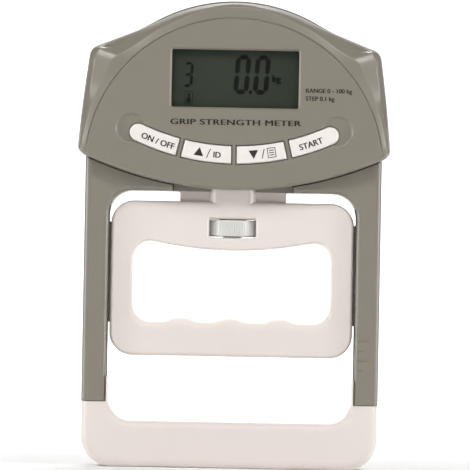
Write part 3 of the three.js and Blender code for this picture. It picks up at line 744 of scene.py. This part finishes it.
def rounded_hole(outline, depths, widths, depth):
    """Cutting tool for a hole whose edges are rounded outwards by quarter ellipses at both faces, half as
    wide and 0.6 as deep at the back."""
    turns = np.radians(np.linspace(0, 90, 8))
    front = [(widths * (1 - math.sin(turn)), depths[0] - 0.02 + depth * (1 - math.cos(turn)))
             for turn in turns]
    back = [(widths * (1 - math.sin(turn)) * 0.5, depths[1] + 0.02 - depth * 0.6 * (1 - math.cos(turn)))
            for turn in turns[::-1]]
    return mould(outline, [(widths, depths[0] - 2), *front, *back, (widths * 0.5, depths[1] + 2)])


def between(rows, size, closed=False):
    """Four-sided faces between neighbouring rings of size points, and from the last ring back to the first
    one where the surface closes on itself."""
    ring = np.arange(size)
    after = (ring + 1) % size
    here = (np.arange(rows if closed else rows - 1) * size)[:, None]
    there = (here + size) % (rows * size)
    return np.stack([here + ring, here + after, there + after, there + ring], axis=2).reshape(-1, 4).tolist()


def turned(name, profile, centre, count=64, axis="Z"):
    """Solid of revolution: a profile of (radius, height) points carried around an axis through centre. The
    first and last points lie on the axis and become poles."""
    profile = np.array(profile, float)
    turn = np.linspace(0, 2 * np.pi, count, endpoint=False)
    radius, height = profile[1:-1].T
    a = radius[:, None] * np.cos(turn)
    b = radius[:, None] * np.sin(turn)
    c = np.broadcast_to(height[:, None], a.shape)
    rings = np.stack([a, b, c], axis=2).reshape(-1, 3)
    points = np.vstack([rings, [[0, 0, profile[0, 1]], [0, 0, profile[-1, 1]]]])
    ring = np.arange(count)
    after = (ring + 1) % count
    faces = between(len(radius), count)
    last = (len(radius) - 1) * count
    faces += np.stack([after, ring, np.full(count, len(rings))], 1).tolist()
    faces += np.stack([last + ring, last + after, np.full(count, len(rings) + 1)], 1).tolist()
    if axis == "Y":
        points = np.column_stack([points[:, 0] + centre[0], points[:, 2], centre[1] - points[:, 1]])
    elif axis == "X":
        points = np.column_stack([points[:, 2], points[:, 0] + centre[0], points[:, 1] + centre[1]])
    else:
        points = points + [centre[0], centre[1], 0]
    return draft(name, points, faces)


outline = rounded_box((-49.6, 49.6), (45.5, 108.8), 9.5, 16)
x, z = side_middles(outline)
front_round = 1.3 + 1.2 * ease(98, 108, z)
grip = slab("grip_whole", outline, GRIP_DEPTHS, (front_round, 1.9), (1.4, 1.4))
hole = finger_hole()
x, z = side_middles(hole)
groove_width = 0.9 + 3.4 * (1 - ease(60.5, 66, z)) * (1 - 0.5 * ease(36, 41, np.abs(x)))
carve(grip, [rounded_hole(hole, GRIP_DEPTHS, groove_width, 3.2)])
tongue = mould(rounded_box((-21.7, 21.7), (104, 125.5), 1.0),
               [(-0.3, -3.1), (0, -2.8), (0, 6.2), (-0.3, 6.5)])
neck = column("neck", [(9.1, 9.1, 101.9), (9.5, 9.6, 104), (9.7, 9.9, 106.3), (9.7, 9.9, 126.6),
                       (9.3, 9.5, 127)])
ribs = [box_tool(span, (0.6, 10.6), (58.9, 100)) for span in both((48.6, 52.2))]
carve(grip, [tongue, neck, *ribs], "UNION")
bore = turned("bore", [(0, 90.5), (4.3, 90.5), (4.3, 92.9), (11, 92.9), (11, 103.1), (6, 103.1), (6, 113),
                       (4.3, 113), (4.3, 128), (0, 128)], (0, SPLIT + OFF_JOINT))
carve(bore, [box_tool((-12, 12), (-5, 11), (90, 129))], "INTERSECT")
wheel_window = mould(rounded_box((-9.45, 9.45), (94.3, 101.7), 0.7, 4), [
    (0.95, -8), (0.95, -6.53), (0.5, -6.2), (0.12, -5.6), (0, -4.4), (0, 11.6), (0.2, 12.3), (0.5, 12.53),
    (0.5, 14)])
carve(grip, [bore, wheel_window])
carve(grip, screw_seats(GRIP_SCREWS, GRIP_DEPTHS[1]))
for name, span in (("front", (-20, SPLIT)), ("rear", (SPLIT, 20))):
    half = bpy.data.objects.new(f"grip_{name}_moulding", grip.data.copy())
    bpy.context.scene.collection.objects.link(half)
    carve(half, [box_tool((-60, 60), span, (40, 130))], "INTERSECT")
    finish_piece(half, white_abs, "grip", f"grip_{name}")
bpy.data.objects.remove(grip)


# ---- thumbwheel ----------------------------------------------------------------------------------
# Straight-knurled wheel, nickel plated, on a brass sleeve that is threaded on the tension rod. Turning it
# screws the whole grip up or down on the rod.

def metal(name, colour, roughness, metallic=1.0):
    """Plated or turned metal whose tone and roughness vary faintly."""
    material, shader, _ = grained(name, colour, roughness, 5000, 0.05)
    shader.inputs["Metallic"].default_value = metallic
    return material


def knurled_wheel():
    """Radius 10.5 with 90 ridges 0.5 mm high, chamfered at both rims, and a bore for the sleeve. A ring of
    the surface has a radius for each angle: the rim's own radius less a share of the groove's depth."""
    ridges, per_ridge, ridge_height = 90, 10, 0.5
    turn = np.linspace(0, 2 * np.pi, ridges * per_ridge, endpoint=False)
    groove = np.clip(0.15 - 0.9 * np.cos(ridges * turn), 0, 1) ** 1.3
    low, high = 94.7, 101.3
    levels = [(5.9, low, 0), (9.7, low, 0), (10.1, low + 0.1, 0.3), (10.45, low + 0.45, 1),
              (10.5, low + 0.6, 1), (10.5, high - 0.6, 1), (10.45, high - 0.45, 1),
              (10.1, high - 0.1, 0.3), (9.7, high, 0), (5.9, high, 0)]
    rings = []
    for radius, height, share in levels:
        reach = radius - ridge_height * share * groove
        x, y = reach * np.cos(turn), SPLIT + reach * np.sin(turn)
        rings.append(np.column_stack([x, y, np.full(len(turn), height)]))
    return draft("thumbwheel_knurled", np.vstack(rings), between(len(rings), len(turn), closed=True))


nickel = metal("satin_nickel", srgb(236, 236, 233), 0.45, metallic=0.15)
finish_piece(knurled_wheel(), nickel, "thumbwheel", "thumbwheel", sharp=60)


# ---- keys ----------------------------------------------------------------------------------------
# Four caps of off-white ABS in a fan under the display. A flange behind each keeps it in the head cover, and
# a silicone keypad under them pushes them back.

key_abs = plastic("key_abs", srgb(238, 231, 226), 0.35, bump=0.04, drift=0.01)
CAP_FACE = -15.5

for name, (side, outer) in KEYS.items():
    cap = mould(key_outline(side, outer, 0), [
        (-1.2, CAP_FACE), (-0.8, CAP_FACE), (-0.55, -15.46), (-0.3, -15.35), (-0.12, -15.15), (-0.03, -14.9),
        (0, -14.6), (0, -12.5), (0.8, -12.5), (0.8, -11.3)])
    cap.name = f"button_{name}_cap"
    finish_piece(cap, key_abs, f"button_{name}", f"button_{name}")


# ---- display -------------------------------------------------------------------------------------
# Reflective liquid crystal display behind a clear acrylic lens: a dark grey-green glass with seven-segment
# digits that read 0.0 kg, a memory digit and a figure in a frame.

def lens_material():
    """Clear acrylic: next to invisible but for a soft reflection and a trace of smoke."""
    material = bpy.data.materials.new("clear_acrylic")
    material.use_nodes = True
    shader = material.node_tree.nodes["Principled BSDF"]
    shader.inputs["Base Color"].default_value = srgb(30, 34, 32)
    shader.inputs["Roughness"].default_value = 0.08
    shader.inputs["Alpha"].default_value = 0.08
    return material


def segments(lit, corner, width, height, thick, lean):
    """Lit bars of a seven-segment digit as outlines. A bar is a hexagon along a line between two of the
    digit's six corners, and the digit leans by a share of its height."""
    left, right = thick / 2, width - thick / 2
    low, middle, high = thick / 2, height / 2, height - thick / 2
    lines = {
        "a": ((left, high), (right, high)), "b": ((right, middle), (right, high)),
        "c": ((right, low), (right, middle)), "d": ((left, low), (right, low)),
        "e": ((left, low), (left, middle)), "f": ((left, middle), (left, high)),
        "g": ((left, middle), (right, middle)),
    }
    outlines = []
    for bar in lit:
        first, last = np.array(lines[bar])
        along = (last - first) / np.linalg.norm(last - first)
        across = np.array([-along[1], along[0]]) * thick / 2
        first, last = first + along * 0.16, last - along * 0.16
        nose = along * thick / 2
        points = np.array([first, first + nose - across, last - nose - across, last,
                           last - nose + across, first + nose + across])
        points[:, 0] += lean * points[:, 1]
        outlines.append(points + corner)
    return outlines


def anticlockwise(outline):
    """An outline in anticlockwise order, by the sign of its area."""
    outline = np.asarray(outline, float)
    area = np.cross(outline, np.roll(outline, -1, axis=0)).sum()
    return outline if area > 0 else outline[::-1]


def raised(name, outlines, front, back):
    """One mesh of flat pieces with the given outlines between two depths."""
    points, faces = [], []
    for outline in outlines:
        ordered = anticlockwise(outline)
        body_points, body_faces = loft([at_depth(ordered, front), at_depth(ordered, back)])
        faces += [[len(points) + corner for corner in face] for face in body_faces]
        points += body_points.tolist()
    return draft(name, points, faces)


def ellipse(centre, radii):
    """Points of an upright ellipse."""
    return np.array(centre) + circle((0, 0), 1, 24) * radii


def strokes(outline, width):
    """A closed outline drawn as four-sided strokes along its sides."""
    bars = []
    for first, last in zip(outline, np.roll(outline, -1, axis=0)):
        along = (last - first) / np.linalg.norm(last - first)
        across = np.array([-along[1], along[0]]) * width / 2
        end = along * width / 2
        first, last = first - end, last + end
        bars.append(np.array([first - across, last - across, last + across, first + across]))
    return bars


def lettering(text, height, weight=0.0, align="CENTER", spacing=1.0):
    """Text as flat faces: its vertices in its own plane and its faces. Height is that of a capital, and
    weight widens the strokes."""
    font = bpy.data.curves.new("text", "FONT")
    font.body = text
    font.align_x = align
    font.size = height / 0.73
    font.offset = weight
    font.space_character = spacing
    font.resolution_u = 4
    source = bpy.data.objects.new("text", font)
    bpy.context.scene.collection.objects.link(source)
    bpy.context.view_layer.update()
    mesh = bpy.data.meshes.new_from_object(source.evaluated_get(bpy.context.evaluated_depsgraph_get()))
    flat = np.array([vertex.co[:2] for vertex in mesh.vertices])
    faces = [list(face.vertices) for face in mesh.polygons]
    bpy.data.objects.remove(source)
    return flat, faces


def emboldened(flat, faces, shift):
    """The same print struck twice, a little to the left and to the right."""
    again = [[len(flat) + corner for corner in face] for face in faces]
    return np.vstack([flat - [shift, 0], flat + [shift, 0]]), faces + again


lcd_shapes = []
for left in (-0.9, 7.1):
    lcd_shapes += segments("abcdef", (left, 152.6), 6.2, 16.1, 1.95, 0.075)
lcd_shapes += segments("abcdg", (-21.5, 155.2), 4.0, 10.2, 1.15, 0.05)
lcd_shapes.append(ellipse((6.25, 153.4), (0.7, 0.8)))
lcd_shapes += strokes(np.array([(-20.4, 148.2), (-17.3, 148.2), (-17.3, 153.4), (-20.4, 153.4)]), 0.22)
lcd_shapes.append(ellipse((-18.85, 152.2), (0.5, 0.55)))
lcd_shapes.append(np.array([(-20.0, 148.8), (-17.7, 148.8), (-18.4, 151.4), (-19.3, 151.4)]))
GLASS_FRONT = -11.41
PRINT_FRONT = -11.47
digits = raised("display_segments", lcd_shapes, PRINT_FRONT, GLASS_FRONT)
lcd_ink = plastic("lcd_ink", srgb(18, 20, 18), 0.5, bump=0.0, drift=0.02, specular=0.1)
finish_piece(digits, lcd_ink, "housing", None)
flat, faces = emboldened(*lettering("kg", 2.8, 0.04, align="LEFT"), 0.18)
unit = draft("display_unit", at_depth(flat + [15.0, 157.9], PRINT_FRONT), faces)
finish_piece(unit, lcd_ink, "housing", None)

glass_look = plastic("display_glass", srgb(62, 69, 58), 0.4, grain=9000, bump=0.0, drift=0.05, specular=0.1)
nodes["display_glass"].data.materials.clear()
nodes["display_glass"].data.materials.append(glass_look)
lens = mould(rounded_box((-27.5, 27.5), (145.9, 171.6), 0.6), [(-0.1, -12.6), (0, -12.5), (0, -11.6)])
lens.name = "display_lens_plate"
finish_piece(lens, lens_material(), "housing", "display_lens")


# ---- printing ------------------------------------------------------------------------------------
# Pad-printed plain lettering on the head and the keys: what the instrument is, its range and step, and the
# keys' functions.

print_ink = plastic("print_ink", srgb(38, 34, 32), 0.55, grain=4000, bump=0.0, drift=0.02)
PRINT_LIFT = 0.015
TEXT_R = 95.2  # radius in the keys' fan of the lettering's lower line


def printed(name, flat, faces, y, body):
    """Flat (x, z) print just in front of the face at depth y, facing the front."""
    piece = draft(name, at_depth(flat, y - PRINT_LIFT), faces)
    finish_piece(piece, print_ink, body, None)
    return piece


def on_fan(flat, degrees, radius):
    """Bends text along the fan: across becomes an angle around its centre, up becomes nearer to it."""
    turn = np.radians(degrees - 90) + flat[:, 0] / radius
    reach = radius - flat[:, 1]
    return np.array(FAN) + np.column_stack([reach * np.cos(turn), reach * np.sin(turn)])


flat, faces = lettering("GRIP STRENGTH METER", 2.35, spacing=1.06)
flat[:, 0] *= 53 / np.ptp(flat[:, 0])
flat, faces = emboldened(flat, faces, 0.16)
printed("print_title", flat + [0.4, 139.9], faces, FACE, "housing")
for text, low in (("RANGE 0 - 100 kg", 153.6), ("STEP 0.1 kg", 150.4)):
    flat, faces = emboldened(*lettering(text, 1.8, 0.02, align="LEFT"), 0.08)
    printed(f"print_{text.split()[0].lower()}", flat + [28.7, low], faces, FACE, "housing")

for key, name, text, height, shift, degrees, radius in (
        ("on", "on", "ON / OFF", 2.5, 0, -19.3, TEXT_R),
        ("start", "start", "START", 2.5, 0, 19.4, 95.3),
        ("up", "id", "ID", 2.4, 4.3, -6.8, TEXT_R)):
    flat, faces = emboldened(*lettering(text, height, 0.035), 0.08)
    printed(f"print_{name}", on_fan(flat + [shift, 0], degrees, radius), faces, CAP_FACE, f"button_{key}")


def sign(name, outlines, degrees, body):
    """Signs of straight-sided shapes printed on a key, bent along the fan like its lettering."""
    flat, faces = [], []
    for outline in outlines:
        faces.append(list(range(len(flat), len(flat) + len(outline))))
        flat += anticlockwise(outline).tolist()
    return printed(name, on_fan(np.array(flat), degrees, TEXT_R), faces, CAP_FACE, body)


def page():
    """A leaf of paper with three lines on it."""
    leaf = np.array([(2.7, -0.5), (5.9, -0.5), (5.9, 3.3), (2.7, 3.3)])
    lines = [np.array([(3.3, z), (5.3, z), (5.3, z + 0.36), (3.3, z + 0.36)]) for z in (0.3, 1.25, 2.2)]
    return strokes(leaf, 0.3) + lines


slash = np.array([(0, -0.5), (0.38, -0.5), (1.6, 3.3), (1.22, 3.3)])
sign("print_up", [[(-5.2, -0.2), (-1.2, -0.2), (-3.2, 3.3)], slash], -6.8, "button_up")
sign("print_down", [[(-3.2, -0.4), (-1.2, 3.1), (-5.2, 3.1)], slash, *page()], 6.8, "button_down")


# ---- battery door --------------------------------------------------------------------------------
# Flat grey ABS door flush in the back of the head, hinged on two tabs at its lower edge, with a ribbed finger
# recess at its snap latch. Two AAA cells lie behind it.

door = slab("battery_door_moulding", rounded_box((-25.4, 25.4), (149.9, 173.4), 0.8), (13.7, BACK),
            (0.15, 0.15), (0.35, 0.3), 4)
latch = box_tool((-4, 4), (11.6, 14), (172.2, 173.2))
tabs = [box_tool((side * 14 - 2, side * 14 + 2), (12.2, 14), (150, 151.4)) for side in (-1, 1)]
carve(door, [latch, *tabs], "UNION")
recess = mould(rounded_box((-8, 8), (163.5, 170.5), 3.4, 8),
               [(-1.2, BACK - 0.75), (-0.5, BACK - 0.65), (0, BACK - 0.3), (0.3, BACK + 0.03),
                (0.3, BACK + 1)])
carve(door, [recess])
ridges = [mould(rounded_box((-5, 5), (z - 0.35, z + 0.35), 0.34, 4),
                [(0.1, BACK - 1.2), (0, BACK - 0.4), (-0.2, BACK - 0.25)])
          for z in (165.2, 167, 168.8)]
carve(door, ridges, "UNION")
finish_piece(door, grey_abs, "battery_door", "battery_door")

cell_sleeve = plastic("cell_sleeve", srgb(44, 46, 52), 0.3, bump=0.0)
cell_metal = metal("cell_metal", srgb(196, 196, 192), 0.3)
for z, way, name in ((155.6, -1, "lower"), (167.7, 1, "upper")):
    sleeve = turned(f"battery_{name}_sleeve", [
        (0, -21.7), (4.2, -21.7), (4.8, -21.75), (5.15, -21.5), (5.2, -21.2), (5.2, 21.2), (5.1, 21.6),
        (4.7, 21.75), (4.2, 21.6), (0, 21.6)], (7.9, z), axis="X")
    finish_piece(sleeve, cell_sleeve, "housing", f"battery_cell_{name}")
    nub = turned(f"battery_{name}_nub", [
        (0, 21.5), (4.1, 21.5), (4.1, 21.65), (1.9, 21.75), (1.9, 22.5), (1.75, 22.65), (0, 22.65)],
        (7.9, z), 48, "X")
    if way < 0:
        turned_round = vertices_of(nub) * [-1, 1, 1]
        turned_round[:, 2] = 2 * z - turned_round[:, 2]
        nub.data.vertices.foreach_set("co", turned_round.astype(np.float32).ravel())
    finish_piece(nub, cell_metal, "housing", None)


# ---- screws --------------------------------------------------------------------------------------
# Zinc-plated pan-head screws with a cross recess, driven from the back: four in the head, two in the legs,
# two in the palm bar and four in the grip.

zinc = metal("zinc", srgb(186, 188, 190), 0.36)


def pan_screw(name, at, top, length):
    """Pan head of radius 2.4 with a domed top and a cross recess, on a plain shank."""
    x, z = at
    screw = turned(name, [
        (0, top - length), (0.5, top - length), (1.25, top - length + 1.6), (1.3, top - 1.6),
        (2.3, top - 1.6), (2.4, top - 1.5), (2.4, top - 0.6), (2.25, top - 0.3), (1.8, top - 0.1),
        (1.1, top - 0.02), (0, top)],
        (x, z), 40, "Y")
    wings = [box_tool((x - wide, x + wide), (top - 0.9, top + 1), (z - high, z + high))
             for wide, high in ((1.3, 0.24), (0.24, 1.3))]
    return carve(screw, wings)


SCREWS = {"head": (HEAD_SCREWS, BACK, 24, "housing"), "leg": (LEG_SCREWS, BACK, 10, "housing"),
          "base": (BASE_SCREWS, BACK, 20, "housing"), "grip": (GRIP_SCREWS, GRIP_DEPTHS[1], 15, "grip")}
for group, (places, top, length, body) in SCREWS.items():
    ends = ("left", "right") if len(places) == 2 else ("left_1", "right_1", "left_2", "right_2")
    for place, end in zip(places, ends):
        screw = pan_screw(f"{group}_screw_{end}_pan", place, top, length)
        finish_piece(screw, zinc, body, f"{group}_screw_{end}")


# ---- inside --------------------------------------------------------------------------------------
# The load cell, the tension rod, the electronics and the battery contacts keep their CAD shapes and take
# their own materials.

INSIDE = {
    zinc: ("board_screw_", "beam_screw_", "tension_rod", "rod_nut_", "wheel_washer_"),
    metal("brass", srgb(196, 164, 92), 0.3): ("wheel_sleeve",),
    metal("milled_aluminium", srgb(206, 208, 210), 0.4): ("load_beam",),
    metal("spring_steel", srgb(198, 196, 190), 0.28): ("battery_contact_",),
    plastic("gauge_foil", srgb(196, 128, 58), 0.4): ("strain_gauge_",),
    plastic("silicone", srgb(66, 66, 66), 0.7, bump=0.1): ("contact_strip_", "keypad"),
    plastic("solder_mask", srgb(22, 84, 52), 0.3): ("circuit_board",),
    plastic("epoxy", srgb(26, 26, 28), 0.5): ("controller_chip", "battery_lead_black"),
    plastic("red_pvc", srgb(170, 34, 26), 0.4): ("gauge_lead_", "battery_lead_red"),
    white_abs: ("display_holder",),
}
for material, starts in INSIDE.items():
    for name, node in nodes.items():
        if name.startswith(starts):
            node.data.materials.clear()
            node.data.materials.append(material)


# ---- floor, light and camera ---------------------------------------------------------------------
# A plain white sweep that goes up behind the instrument, soft boxes above, in front and at both sides, a lamp
# on the sweep, and a long lens a little below the instrument's middle. The room beyond gives little light but
# looks pale. All of it is in metres.

def sweep():
    """Floor that bends up into a wall: a profile of (y, z) points carried along x."""
    bend = arc((1.5, 1.0), 1.0, -90, 0, 24)
    profile = np.vstack([[-3.0, 0.0], bend, [2.5, 4.0]])
    count, half_width = len(profile), 1.1
    sides = [np.column_stack([np.full(count, x), profile]) for x in (-half_width, half_width)]
    step = np.arange(count - 1)
    faces = np.stack([step, count + step, count + step + 1, step + 1], 1)
    return draft("floor", np.vstack(sides), faces.tolist())


floor = sweep()
floor.data.shade_smooth()
paper = bpy.data.materials.new("paper")
paper.use_nodes = True
matt = paper.node_tree.nodes["Principled BSDF"]
matt.inputs["Base Color"].default_value = srgb(250, 250, 250)
matt.inputs["Roughness"].default_value = 0.9
floor.data.materials.append(paper)
floor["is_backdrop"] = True


def soft_box(name, at, target, size, power):
    """Area light at a place, facing a target. Power is in watts."""
    light = bpy.data.lights.new(name, "AREA")
    light.shape = "RECTANGLE"
    light.size, light.size_y = size
    light.energy = power
    lamp = bpy.data.objects.new(name, light)
    bpy.context.scene.collection.objects.link(lamp)
    lamp.location = at
    lamp.rotation_mode = "QUATERNION"
    lamp.rotation_quaternion = (Vector(target) - Vector(at)).to_track_quat("-Z", "Y")
    lamp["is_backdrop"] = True


MIDDLE = (0, 0, 0.1)
soft_box("left_box", (-1.0, -0.26, 0.16), MIDDLE, (0.2, 0.5), 4.6)
soft_box("right_box", (1.0, -0.26, 0.16), MIDDLE, (0.2, 0.5), 4.6)
soft_box("left_shoulder_box", (-0.75, -0.8, 0.9), MIDDLE, (0.32, 0.32), 4.5)
soft_box("right_shoulder_box", (0.75, -0.8, 0.9), MIDDLE, (0.32, 0.32), 4.5)
soft_box("top_box", (0, -0.75, 1.2), MIDDLE, (1.0, 0.25), 4.2)
soft_box("front_fill", (0, -2.5, 0.4), MIDDLE, (2.0, 1.0), 2.6)
soft_box("wall_light", (0, 0.9, 1.35), (0, 1.9, 0.15), (0.7, 0.3), 40)

world = bpy.data.worlds.new("studio")
bpy.context.scene.world = world
world.use_nodes = True
backdrop = world.node_tree.nodes["Background"]
backdrop.inputs["Color"].default_value = (1, 1, 1, 1)
seen = world.node_tree.nodes.new("ShaderNodeLightPath")
brightness = world.node_tree.nodes.new("ShaderNodeMapRange")
brightness.inputs["To Min"].default_value = 0.07
brightness.inputs["To Max"].default_value = 0.95
world.node_tree.links.new(seen.outputs["Is Camera Ray"], brightness.inputs["Value"])
world.node_tree.links.new(brightness.outputs["Result"], backdrop.inputs["Strength"])

lens_data = bpy.data.cameras.new("camera")
lens_data.lens = 374
lens_data.sensor_width = 36
lens_data.clip_start, lens_data.clip_end = 0.05, 20
camera = bpy.data.objects.new("camera", lens_data)
bpy.context.scene.collection.objects.link(camera)
camera.location = (0.001, -2.0, 0.07)
aim = Vector((0.00104, 0, 0.0954)) - camera.location
camera.rotation_mode = "QUATERNION"
camera.rotation_quaternion = aim.to_track_quat("-Z", "Y") @ Quaternion((0, 0, 1), math.radians(1.07))
bpy.context.scene.camera = camera
bpy.context.scene.view_settings.view_transform = "Standard"

low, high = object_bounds()
